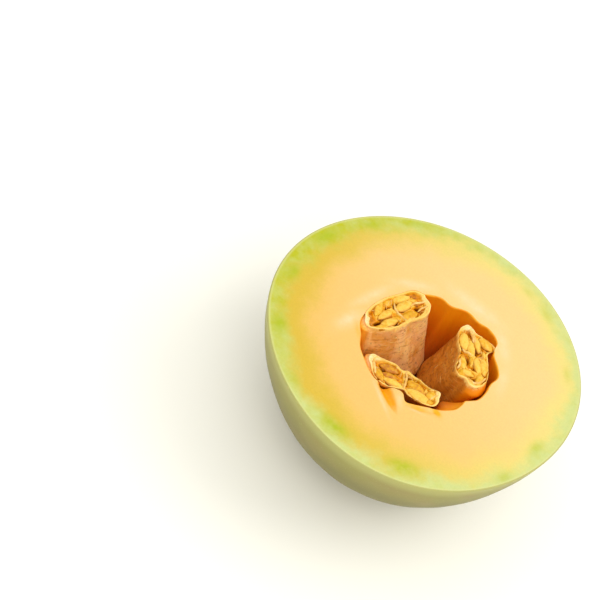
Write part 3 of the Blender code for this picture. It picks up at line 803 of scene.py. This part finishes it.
class Skin:
    """The points, faces and values of one mesh, gathered part by part, in mm."""

    def __init__(self):
        self.points = []
        self.faces = []
        self.stuffs = []
        self.values = {}
        self.count = 0

    def add(self, rings, first, last, stuff=None, **values):
        """Adds a closed skin over rings of points, from a first middle point to a last one. A ring turns
        to the left, seen from where the skin goes. "stuff" is the material's number for each step."""
        rings = np.asarray(rings, float)
        rows, segments = rings.shape[:2]
        row = np.arange(segments)
        ahead = (row + 1) % segments
        low = self.count + segments * np.arange(rows - 1)[:, None]
        quads = np.stack([low + row, low + ahead, low + segments + ahead, low + segments + row], axis=-1)
        first_middle = self.count + rows * segments
        top = self.count + (rows - 1) * segments
        self.faces += quads.reshape(-1, 4).tolist()
        self.faces += [[first_middle, self.count + b, self.count + a] for a, b in zip(row, ahead)]
        self.faces += [[first_middle + 1, top + a, top + b] for a, b in zip(row, ahead)]
        stuff = np.zeros(rows - 1, int) if stuff is None else np.asarray(stuff)
        self.stuffs += np.repeat(stuff, segments).tolist()
        self.stuffs += [int(stuff[0])] * segments + [int(stuff[-1])] * segments
        self.points += rings.reshape(-1, 3).tolist() + [list(first), list(last)]
        for name, value in values.items():
            value = np.broadcast_to(np.asarray(value, float), (rows, segments))
            ends = [value[0].mean(), value[-1].mean()]
            self.values.setdefault(name, []).extend(value.ravel().tolist() + ends)
        self.count = len(self.points)

    def make(self, name, materials, node):
        """Makes the mesh into a piece that rides with the melon and stands for a node of the frame."""
        mesh = bpy.data.meshes.new(name)
        mesh.from_pydata((np.array(self.points) * MM).tolist(), [], self.faces)
        for material in materials:
            mesh.materials.append(material)
        mesh.polygons.foreach_set("material_index", self.stuffs)
        for value, numbers in self.values.items():
            mesh.attributes.new(value, "FLOAT", "POINT").data.foreach_set("value", numbers)
        mesh.shade_smooth()
        mesh.update()
        piece = bpy.data.objects.new(name, mesh)
        piece.location = (AXIS[0] * MM, AXIS[1] * MM, 0)
        bpy.context.collection.objects.link(piece)
        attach(piece, "root")
        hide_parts(node)


def upright(x, y, z):
    """Points from their coordinates, told apart or alike for all."""
    return np.stack(np.broadcast_arrays(x, y, z), axis=-1).astype(float)


# The cut melon

def melon_rows(sizes):
    """The rings of the cut melon, from the rest spot up the rind, across the cut and down the cavity.

    Gives the angles round it, the radii of the cut's outer edge, and each ring's radii, height and kind."""
    turns = round_turns(MELON_SEGMENTS)
    lobes = sum(high * np.cos(n * (turns - math.radians(crest))) for n, high, crest in RIND_LOBES)
    face_radius = sizes.face_radius / MM
    half_length = sizes.half_length / MM
    offset = sizes.cut_offset / MM
    rest = sizes.rest_radius / MM
    rounding = sizes.rim_rounding / MM
    cavity_depth = sizes.cavity_depth / MM
    radius = face_radius / math.sqrt(1 - (offset / half_length) ** 2)
    middle = CUT_HEIGHT + offset
    rows = []
    for reach in np.linspace(0.5, rest, MELON_RINGS["rest"]):
        rows.append((np.full(MELON_SEGMENTS, reach), np.zeros(MELON_SEGMENTS), "rest"))
    lowest = math.asin(rest / radius)
    highest = math.acos((offset + rounding) / half_length)
    for turn in np.linspace(lowest, highest, MELON_RINGS["rind"])[1:]:
        rows.append(((radius + lobes) * math.sin(turn), middle - half_length * math.cos(turn), "rind"))
    edge = rows[-1][0]
    for turn in np.linspace(0, math.pi / 2, MELON_RINGS["rim"])[1:]:
        height = CUT_HEIGHT - rounding * (1 - math.sin(turn))
        rows.append((edge - rounding * (1 - math.cos(turn)), height, "rim"))
    outer = rows[-1][0]
    mouth = CAVITY.radius(turns)
    edge_x = mouth * np.cos(turns)
    edge_y = mouth * np.sin(turns)
    clear = np.min([from_outline(edge_x, edge_y, shape["outline"]) for shape in BUNDLES.values()], axis=0)
    lip = LIP_LEAST + LIP_MORE * smooth(*LIP_FREE, clear)
    for share in 1 - (1 - np.linspace(0, 1, MELON_RINGS["face"])[1:]) ** 1.2:
        rows.append((outer + (mouth + lip - outer) * share, CUT_HEIGHT, "face"))
    for turn in np.linspace(0, math.pi / 2, MELON_RINGS["lip"])[1:]:
        depth = lip * (1 - math.cos(turn))
        rows.append((mouth + lip * (1 - math.sin(turn)), CUT_HEIGHT - depth, "lip"))
    for turn in np.linspace(math.asin(0.03), math.radians(88.5), MELON_RINGS["wall"]):
        depth = cavity_depth * math.sin(turn)
        rows.append((cavity_radius(turns, depth, cavity_depth), CUT_HEIGHT - depth, "wall"))
    return turns, outer, rows


def from_notch(x, y):
    """Each point's distance from the notch's line in half widths of it, and its share of the way along."""
    away, share = from_line(x, y, NOTCH_FROM, NOTCH_TIP)
    return away / (NOTCH_HALF * (1 - share**3) + 0.1), share


def cut_relief(x, y):
    """How far the cut face lies under the knife's plane: its unevenness, the notch and a crease."""
    away, share = from_notch(x, y)
    notch = NOTCH_DEPTH * (1 - share) ** 1.2 * smooth(1.1, 0.0, away)
    crease = np.min([from_line(x, y, start, end)[0] for start, end in CREASE], axis=0)
    return notch + CREASE_DEPTH * bell(crease / CREASE_HALF) + uneven(upright(x, y, 0), "cut") + 0.1


def make_melon(sizes, colours):
    """The cut melon: its rings put in place, with what its materials read at each point."""
    turns, outer, rows = melon_rows(sizes)
    radii, heights, kinds = zip(*rows)
    radii = np.array(radii)
    heights = np.array([np.broadcast_to(height, MELON_SEGMENTS) for height in heights])
    kind = np.array(kinds)
    rest, wall = kind == "rest", kind == "wall"
    rind, face = np.isin(kind, ("rind", "rim")), np.isin(kind, ("face", "lip"))
    x = radii * np.cos(turns)
    y = radii * np.sin(turns)
    points = upright(x, y, heights)

    swell = uneven(points[rind], "rind") * smooth(0, 12, points[rind][..., 2])
    middle = np.array([0, 0, CUT_HEIGHT + sizes.cut_offset / MM])
    grown = middle + (points[rind] - middle) * (1 + swell / 80)[..., None]
    grown[..., 2] = np.minimum(grown[..., 2], CUT_HEIGHT)
    near_cut = smooth(CUT_HEIGHT - 3, CUT_HEIGHT - 0.5, points[rind][..., 2])[..., None]
    points[rind] = grown * (1 - near_cut) + points[rind] * near_cut

    # The blossom scar is a shallow dent with a ring round it in the rest spot, pressed up into the rind.
    reach = radii[rest]
    ring = bell((reach - SCAR_RING) / SCAR_RING_HALF)
    scar = SCAR_DEPTH * (1 - smooth(*SCAR_REACH, reach)) + SCAR_RING_DEPTH * ring
    points[rest, :, 2] += scar * (1 - smooth(8, 9.5, reach))

    # The cut's relief goes on into the top of the cavity's wall.
    inset = outer - radii
    relief = cut_relief(x, y) * smooth(0, 3, inset)
    points[face, :, 2] -= relief[face]
    points[wall, :, 2] -= (relief * smooth(5, 0.5, CUT_HEIGHT - heights))[wall]

    values = {
        name: np.max([stain_share(x, y, *stain) for stain in stains], axis=0)
        for name, stains in STAINS.items()
    }
    away, share = from_notch(x, y)
    values["torn"] = 1.3 * smooth(1.15, 0.4, away) * smooth(1.05, 0.6, share)
    values["from_rim"] = np.clip(inset, 0, None)
    values["ledge"] = ledge_share(turns, CUT_HEIGHT - heights) * wall[:, None]
    values["scar"] = np.where(rest[:, None], 1 - smooth(1.5, 6.5, radii), 0)
    numbers = {"rest": 0, "rind": 0, "rim": 0, "face": 1, "lip": 2, "wall": 2}
    skin = Skin()
    skin.add(
        points,
        first=points[0].mean(axis=0),
        last=points[-1].mean(axis=0),
        stuff=[numbers[one] for one in kinds[1:]],
        **values,
    )
    materials = [rind_material(colours), flesh_material(colours), pulp_material(colours)]
    skin.make("cut_melon", materials, "melon_half")


# The seed bundles

class Bundle:
    """One seed bundle's shape."""

    def __init__(self, number, shape, cavity_depth):
        self.number = number
        self.shape = shape
        self.cavity_depth = cavity_depth
        self.turns = round_turns(BUNDLE_SEGMENTS)
        self.cut = Outline(shape["outline"])
        middle, half_sizes, direction = shape["foot"]
        self.foot = np.array(middle)
        turned = self.turns - math.radians(direction)
        self.foot_radius = 1 / np.hypot(np.cos(turned) / half_sizes[0], np.sin(turned) / half_sizes[1])
        first, second = (math.radians(angle) for angle in shape["planes"])
        self.inward = ((-math.sin(first), math.cos(first)), (math.sin(second), -math.cos(second)))

    def held(self, points):
        """The points, kept inside the cavity's wall and on the bundle's own side of the planes."""
        x, y, z = np.moveaxis(points, -1, 0)
        depth = CUT_HEIGHT - z
        most = cavity_radius(np.arctan2(y, x), depth, self.cavity_depth)
        most = most - 0.02 - 0.06 * smooth(0.5, 3, depth)
        pull = np.minimum(1, most / np.hypot(x, y))
        x, y = x * pull, y * pull
        for along_x, along_y in self.inward:
            over = PRESS_GAP - ((x - MEETING_POINT[0]) * along_x + (y - MEETING_POINT[1]) * along_y)
            x, y = x + along_x * np.clip(over, 0, None), y + along_y * np.clip(over, 0, None)
        return upright(x, y, z)

    def ring(self, depth):
        """The sheath's outside at a depth under the cut."""
        drop = min(1.0, depth / BUNDLE_HEIGHT)
        radius = self.cut.radius(self.turns) * (1 - drop) + self.foot_radius * drop
        rounding = max(0.0, (drop - ROUND_FROM) / (1 - ROUND_FROM))
        radius = radius * math.sqrt(1 - (1 - ROUND_END**2) * rounding**2)
        middle = self.cut.middle * (1 - drop) + self.foot * drop
        outward = np.stack([np.cos(self.turns), np.sin(self.turns)], axis=-1)
        for direction, reach, height, start, full in self.shape["bulges"]:
            share = smooth(start, full, depth) * smooth(*BULGE_FADE, depth)
            radius = radius + height * angle_share(self.turns, direction, reach) * share
        plain = self.held(upright(*(middle + radius[:, None] * outward).T, CUT_HEIGHT - depth))
        fold = 1.1 * lumps(plain, (3.2, 3.2, 45), 10 + self.number)
        for direction, reach, amount in self.shape["folds"]:
            fold += amount * angle_share(self.turns, direction, reach)
        swell = 0.42 * fold + 0.35 * lumps(plain, (5, 5, 7), 20 + self.number)
        swell += 0.07 * lumps(plain, (4, 4, 0.9), 30 + self.number) - 0.1
        wall = cavity_radius(np.arctan2(plain[:, 1], plain[:, 0]), depth, self.cavity_depth)
        grown = smooth(1.2, 0.3, wall - np.hypot(plain[:, 0], plain[:, 1])) * smooth(5, 2, depth)
        swell = swell * (1 - grown) + 0.4 * grown
        moved = plain.copy()
        moved[:, :2] += outward * swell[:, None]
        return self.held(moved), np.array([*middle, CUT_HEIGHT - depth]), fold


def from_edge(points, edge):
    """Each point's distance in plan from the nearest point of an edge."""
    gaps = points[..., None, :2] - edge[:, :2]
    return np.sqrt((gaps**2).sum(axis=-1).min(axis=-1))


def cut_depth(bundle, sizes, x, y, edge_gap):
    """How deep the bundle's cut top lies at each point, and how deep its pit is there."""
    flat = upright(x, y, 0)
    width = sizes.rim_width / MM + uneven(flat, "rim_width")
    for middle_x, middle_y, reach, extra, _ in bundle.shape["rim"]:
        width = width + extra * round_share(x, y, (middle_x, middle_y), reach)
    room = CAVITY.radius(np.arctan2(y, x)) - np.hypot(x, y) - edge_gap
    free = smooth(0.3, 1.4, room)
    ridge = 0.12 + free * (0.05 + uneven(flat, "rim"))
    edge = free * 0.35 * np.clip(1 - edge_gap / 0.35, 0, 1) ** 2
    pit = sizes.pit_depth / MM + uneven(flat, "pit")
    for seed_x, seed_y, direction, length, breadth, *_ in bundle.shape["seeds"]:
        along, across = turned_to(x, y, seed_x, seed_y, direction)
        round_seed = np.hypot(along / (length / 2), across / (breadth / 2))
        pit = pit - GEL_HEIGHT * bell((round_seed - 1.12) / GEL_SHARE)
    for start, end in bundle.shape["webs"]:
        pit = pit - WEB_HEIGHT * bell(from_line(x, y, start, end)[0] / WEB_HALF)
    for hollow in bundle.shape["hollows"]:
        pit = pit + stain_share(x, y, *hollow)
    pit = np.clip(pit, *PIT_LIMITS)
    inside = smooth(width - 0.25, width + 0.45, edge_gap)
    return (ridge + edge) * (1 - inside) + pit * inside, pit * inside


def fill_sheath(skin, bundle, sizes):
    """The sheath: up its side from the foot, over the cut rim and into the pit with the seed gel."""
    depths = SIDE_TOP + (BUNDLE_HEIGHT - SIDE_TOP) * np.linspace(1, 0, SIDE_RINGS) ** 1.15
    rows, middles, folds = (list(one) for one in zip(*(bundle.ring(depth) for depth in depths)))
    outer = rows[-1]
    middle = np.array([*bundle.cut.middle, 0])
    for share in 1 - np.linspace(0, 0.985, TOP_RINGS)[1:] ** 1.1:
        ring = middle + (outer - middle) * share
        gap = from_edge(ring, outer)
        depth, _ = cut_depth(bundle, sizes, ring[:, 0], ring[:, 1], gap)
        ring[:, 2] = CUT_HEIGHT - depth
        rows.append(ring)
        folds.append(folds[-1] * 0.9)
    points = np.array(rows)
    x, y, z = np.moveaxis(points, -1, 0)
    top = np.arange(len(rows))[:, None] >= SIDE_RINGS
    gap = np.where(top, from_edge(points, outer), 0)
    _, pit = cut_depth(bundle, sizes, x, y, gap)
    reach = np.hypot(x, y)
    wall = cavity_radius(np.arctan2(y, x), CUT_HEIGHT - z, bundle.cavity_depth)
    white = np.zeros_like(x)
    for middle_x, middle_y, size, _, whiteness in bundle.shape["rim"]:
        share = round_share(x, y, (middle_x, middle_y), size)
        white = white + share * whiteness * smooth(3, 0.5, CUT_HEIGHT - z)
    ripe = bundle.shape["ripe"]
    stain_and_glow = bundle.shape["stain_and_glow"]
    skin.add(
        points,
        first=middles[0],
        last=points[-1].mean(axis=0),
        stuff=[0 if row < SIDE_RINGS + 4 else 1 for row in range(1, len(rows))],
        beside_wall=smooth(stain_and_glow - 0.07, stain_and_glow + 0.05, reach / wall) * smooth(0.3, 2.0, CUT_HEIGHT - z),
        bruised=round_share(x, y, MEETING_POINT, SPECK_SHADE_REACH) + 0.2 * ripe,
        ripe=ripe,
        fold=np.array(folds),
        deep=np.where(top, pit, 0),
        white=white * (1 - smooth(0.2, 1.2, pit)),
    )


def fill_seeds(skin, bundle, sizes):
    """The bundle's seeds, each plump with a raised seam and a point at one end."""
    steps = np.linspace(0, math.pi, SEED_RINGS)[1:-1, None]
    turns = round_turns(SEED_SEGMENTS)
    for number, seed in enumerate(bundle.shape["seeds"]):
        x, y, direction, length, width, lean, depth, tone = seed
        along = -np.cos(steps)
        plump = np.sin(steps) ** 0.9 * (1 - 0.4 * smooth(0, 1.1, along))
        seam = np.abs(np.cos(turns)) ** 3
        out_y = plump * np.cos(turns) * (1 + 0.04 * seam) * width * 0.57
        out_z = plump * np.sin(turns) * (1 - 0.18 * seam) * sizes.seed_thickness / MM / 2
        points = upright(along * length / 2, out_y, out_z)
        dent = 0
        for amount, size in SEED_DENTS:
            dent = dent + amount * lumps(points, size, number + 7 * bundle.number)
        points = points * (1 + dent[..., None])
        turned = np.array(rotation(direction, lean, 3 * math.sin(5 * number)).transposed())
        place = np.array([x, y, CUT_HEIGHT - depth])
        points = points @ turned + place
        ends = np.array([[-length / 2, 0, 0], [length / 2, 0, 0]]) @ turned + place
        tip = smooth(0.55, 1.0, along)
        skin.add(points, *ends, tone=tone, seam=np.maximum(seam, 0.8 * tip))


def add_fibre(skin, path, thickness):
    """A round thread along a path, drawn thin at both ends."""
    path = np.asarray(path, float)
    along = unit(np.gradient(path, axis=0))
    side = unit(np.cross(along, (0.12, 0.2, 1)))
    lift = np.cross(along, side)
    turns = round_turns(FIBRE_SEGMENTS)
    share = np.linspace(0, 1, len(path))
    radius = thickness / 2 * (0.35 + 0.65 * np.sin(math.pi * share) ** 0.6)
    spokes = side[:, None] * np.cos(turns)[None, :, None] + lift[:, None] * np.sin(turns)[None, :, None]
    rings = path[:, None] + spokes * radius[:, None, None]
    skin.add(rings, path[0], path[-1])


def soften(path):
    """Rounds a path's corners."""
    path[1:-1] = (path[:-2] + path[1:-1] * 2 + path[2:]) / 4


def lay_side_fibres(skin, bundle, chance, count, thickness):
    """Fine threads that lie slantwise on the sheath's side."""
    depths = np.linspace(1.0, 30.0, 59)
    rings = np.array([bundle.ring(depth)[0] for depth in depths])
    middle = rings.mean(axis=1)
    for _ in range(count):
        row = chance.uniform(0, 40)
        place = chance.uniform(0, BUNDLE_SEGMENTS)
        down = chance.normal(0, 3.5)
        along = chance.uniform(4, 12) * chance.choice((-1, 1))
        share = np.linspace(0, 1, 8)
        rows = np.clip(row + down * share, 0, len(depths) - 1).astype(int)
        places = (place + along * share).astype(int) % BUNDLE_SEGMENTS
        path = rings[rows, places]
        out = path - middle[rows]
        out[:, 2] = 0
        path = path + 0.06 * unit(out)
        soften(path)
        if np.linalg.norm(path[-1] - path[0]) > 1.0:
            add_fibre(skin, path, thickness)


def fill_fibres(skin, bundle, sizes):
    """Loose fibres: fine ones on the sides, thick ones over the cut, and short ones from the rim inwards."""
    chance = np.random.default_rng(70 + bundle.number)
    thickness = sizes.fibre_thickness / MM
    lay_side_fibres(skin, bundle, chance, bundle.shape["threads"], thickness * 0.5)
    outer = bundle.ring(SIDE_TOP)[0]
    for width, *places in bundle.shape["strands"]:
        x, y = np.array(places).T
        share = np.linspace(0, len(places) - 1, 16)
        x, y = (np.interp(share, np.arange(len(places)), one) for one in (x, y))
        wave = 0.25 * lumps(upright(x, y, 0), 1.6, 50 + bundle.number)
        path = upright(x + wave, y + wave, CUT_HEIGHT + 0.3 - width / 2 - 0.5 * np.abs(wave))
        soften(path)
        add_fibre(skin, path, width)
    for _ in range(sizes.fibre_count):
        start = outer[chance.integers(BUNDLE_SEGMENTS), :2]
        inward = unit(bundle.cut.middle - start)
        heading = math.atan2(inward[1], inward[0]) + chance.normal(0, 0.7)
        length = chance.uniform(1.5, 3.5)
        bend = chance.normal(0, 0.25)
        start = start + inward * chance.uniform(1.2, 2.2)
        share = np.linspace(0, 1, 9)
        turn = heading + bend * share
        x = start[0] + np.cumsum(np.cos(turn)) * length / 9
        y = start[1] + np.cumsum(np.sin(turn)) * length / 9
        gap = from_edge(upright(x, y, 0), outer)
        depth, _ = cut_depth(bundle, sizes, x, y, gap)
        drape = np.minimum(depth - 0.05, 0.25 + 1.1 * share)
        path = upright(x, y, CUT_HEIGHT - drape)
        add_fibre(skin, path, thickness * chance.uniform(0.6, 1.2))


def make_each(scene, kind, fill, materials):
    """Makes one kind of piece for each of the three bundles."""
    for number, (name, shape) in enumerate(BUNDLES.items()):
        skin = Skin()
        fill(skin, Bundle(number, shape, scene.melon_sizes.cavity_depth / MM), scene.bundle_sizes)
        skin.make(f"{kind}_{name}", materials, f"seed_bundle_{name}")


# Operators

class MELON_OT_half(bpy.types.Operator):
    """Makes the cut melon: rind, flesh and cavity in one skin"""

    bl_idname = "melon.half"
    bl_label = "Cut melon"

    def execute(self, context):
        scene = context.scene
        make_melon(scene.melon_sizes, scene.melon_colours)
        return {"FINISHED"}


class MELON_OT_sheaths(bpy.types.Operator):
    """Makes the three seed bundles' sheaths, with the gel in their pits"""

    bl_idname = "melon.sheaths"
    bl_label = "Sheaths"

    def execute(self, context):
        scene = context.scene
        materials = [sheath_material(scene.melon_colours), gel_material(scene.melon_colours)]
        make_each(scene, "sheath", fill_sheath, materials)
        return {"FINISHED"}


class MELON_OT_seeds(bpy.types.Operator):
    """Lays the seeds in the three bundles"""

    bl_idname = "melon.seeds"
    bl_label = "Seeds"

    def execute(self, context):
        make_each(context.scene, "seeds", fill_seeds, [seed_material(context.scene.melon_colours)])
        return {"FINISHED"}


class MELON_OT_fibres(bpy.types.Operator):
    """Draws the loose fibres on the three bundles"""

    bl_idname = "melon.fibres"
    bl_label = "Fibres"

    def execute(self, context):
        make_each(context.scene, "fibres", fill_fibres, [fibre_material()])
        return {"FINISHED"}


# The camera stands this far from the cut face in m, at this rise over it, then rolls, tilts and pans by so
# many degrees, behind a lens of this length in mm.
CAMERA_REACH = 0.7
CAMERA_RISE = math.radians(48.44)
CAMERA_TURN = (31.696, 1.661, 4.676)
CAMERA_LENS = 92.94


def add_light(name, place, target, size, power, colour):
    """A square soft light that faces a point."""
    light = bpy.data.lights.new(name, "AREA")
    light.shape = "SQUARE"
    light.size = size
    light.energy = power
    light.color = colour
    lamp = bpy.data.objects.new(name, light)
    lamp.location = place
    lamp.rotation_euler = (Vector(target) - Vector(place)).to_track_quat("-Z", "Y").to_euler()
    bpy.context.collection.objects.link(lamp)


def light_room(scene):
    """Even light from a pale room: bright overhead and dimmer towards the horizon, so that sides shade."""
    world = bpy.data.worlds.new("pale_room")
    world.use_nodes = True
    tree = world.node_tree
    way = add_node(tree, "TexCoord", output="Generated")
    height = add_node(tree, "SeparateXYZ", (way,), output="Z")
    strength = add_node(tree, "MapRange", (height, 0.0, 1.0, 0.6, 1.25))
    tree.links.new(strength, tree.nodes["Background"].inputs["Strength"])
    tree.nodes["Background"].inputs["Color"].default_value = (1, 1, 1, 1)
    scene.world = world


def floor_material():
    """White-painted board: matt and a little warm. The eye sees an even pale ground with soft shade."""
    made, _, _ = start_material("white_floor", 0.75, 1.45)
    shader = made.node_tree.nodes["Principled BSDF"]
    shader.inputs["Base Color"].default_value = (*linear("#faf8ed"), 1)
    shader.inputs["Specular IOR Level"].default_value = 0.2
    return made


class MELON_OT_studio(bpy.types.Operator):
    """Makes the floor, the soft lights, the pale surroundings and the camera"""

    bl_idname = "melon.studio"
    bl_label = "Studio"

    def execute(self, context):
        scene = context.scene
        bpy.ops.mesh.primitive_plane_add(size=6)
        floor = context.object
        floor.name = "floor"
        floor.data.materials.append(floor_material())

        light_room(scene)
        add_light("key", (0.75, 0.3, 1.05), (0, 0, 0.03), 0.8, 4.0, (1, 0.985, 0.955))
        add_light("fill", (0.25, -0.85, 1.1), (0, 0, 0.04), 0.8, 4.3, (1, 0.985, 0.96))

        camera = bpy.data.objects.new("camera", bpy.data.cameras.new("camera"))
        camera.data.lens = CAMERA_LENS
        camera.data.sensor_width = 36
        camera.data.clip_start = 0.01
        face = Vector((AXIS[0] * MM, AXIS[1] * MM, CUT_HEIGHT * MM))
        back = Vector((0, -math.cos(CAMERA_RISE), math.sin(CAMERA_RISE)))
        right = Vector((1, 0, 0))
        aim = Matrix((right, back.cross(right), back)).transposed()
        turned = (aim @ rotation(*CAMERA_TURN)).to_4x4()
        camera.matrix_world = Matrix.Translation(face + CAMERA_REACH * back) @ turned
        context.collection.objects.link(camera)
        scene.camera = camera
        scene.view_settings.view_transform = "Standard"
        return {"FINISHED"}


OPERATORS = (MELON_OT_studio, MELON_OT_half, MELON_OT_sheaths, MELON_OT_seeds, MELON_OT_fibres)


class MELON_PT_pieces(bpy.types.Panel):
    """Lists the melon's pieces and the sizes and colours they take"""

    bl_label = "Honeydew melon"
    bl_idname = "MELON_PT_pieces"
    bl_space_type = "VIEW_3D"
    bl_region_type = "UI"
    bl_category = "Melon"

    def draw(self, context):
        for operator in OPERATORS:
            self.layout.operator(operator.bl_idname)
        for group, kind in GROUPS.items():
            box = self.layout.box()
            for name in kind.__annotations__:
                box.prop(getattr(context.scene, group), name)


CLASSES = (*GROUPS.values(), *OPERATORS, MELON_PT_pieces)


def register():
    for one in CLASSES:
        bpy.utils.register_class(one)
    for name, kind in GROUPS.items():
        setattr(bpy.types.Scene, name, bpy.props.PointerProperty(type=kind))


def unregister():
    for name in GROUPS:
        delattr(bpy.types.Scene, name)
    for one in reversed(CLASSES):
        bpy.utils.unregister_class(one)


def main():
    register()
    bpy.ops.melon.studio()
    bpy.ops.melon.half()
    bpy.ops.melon.sheaths()
    bpy.ops.melon.seeds()
    bpy.ops.melon.fibres()


if __name__ == "__main__":
    main()
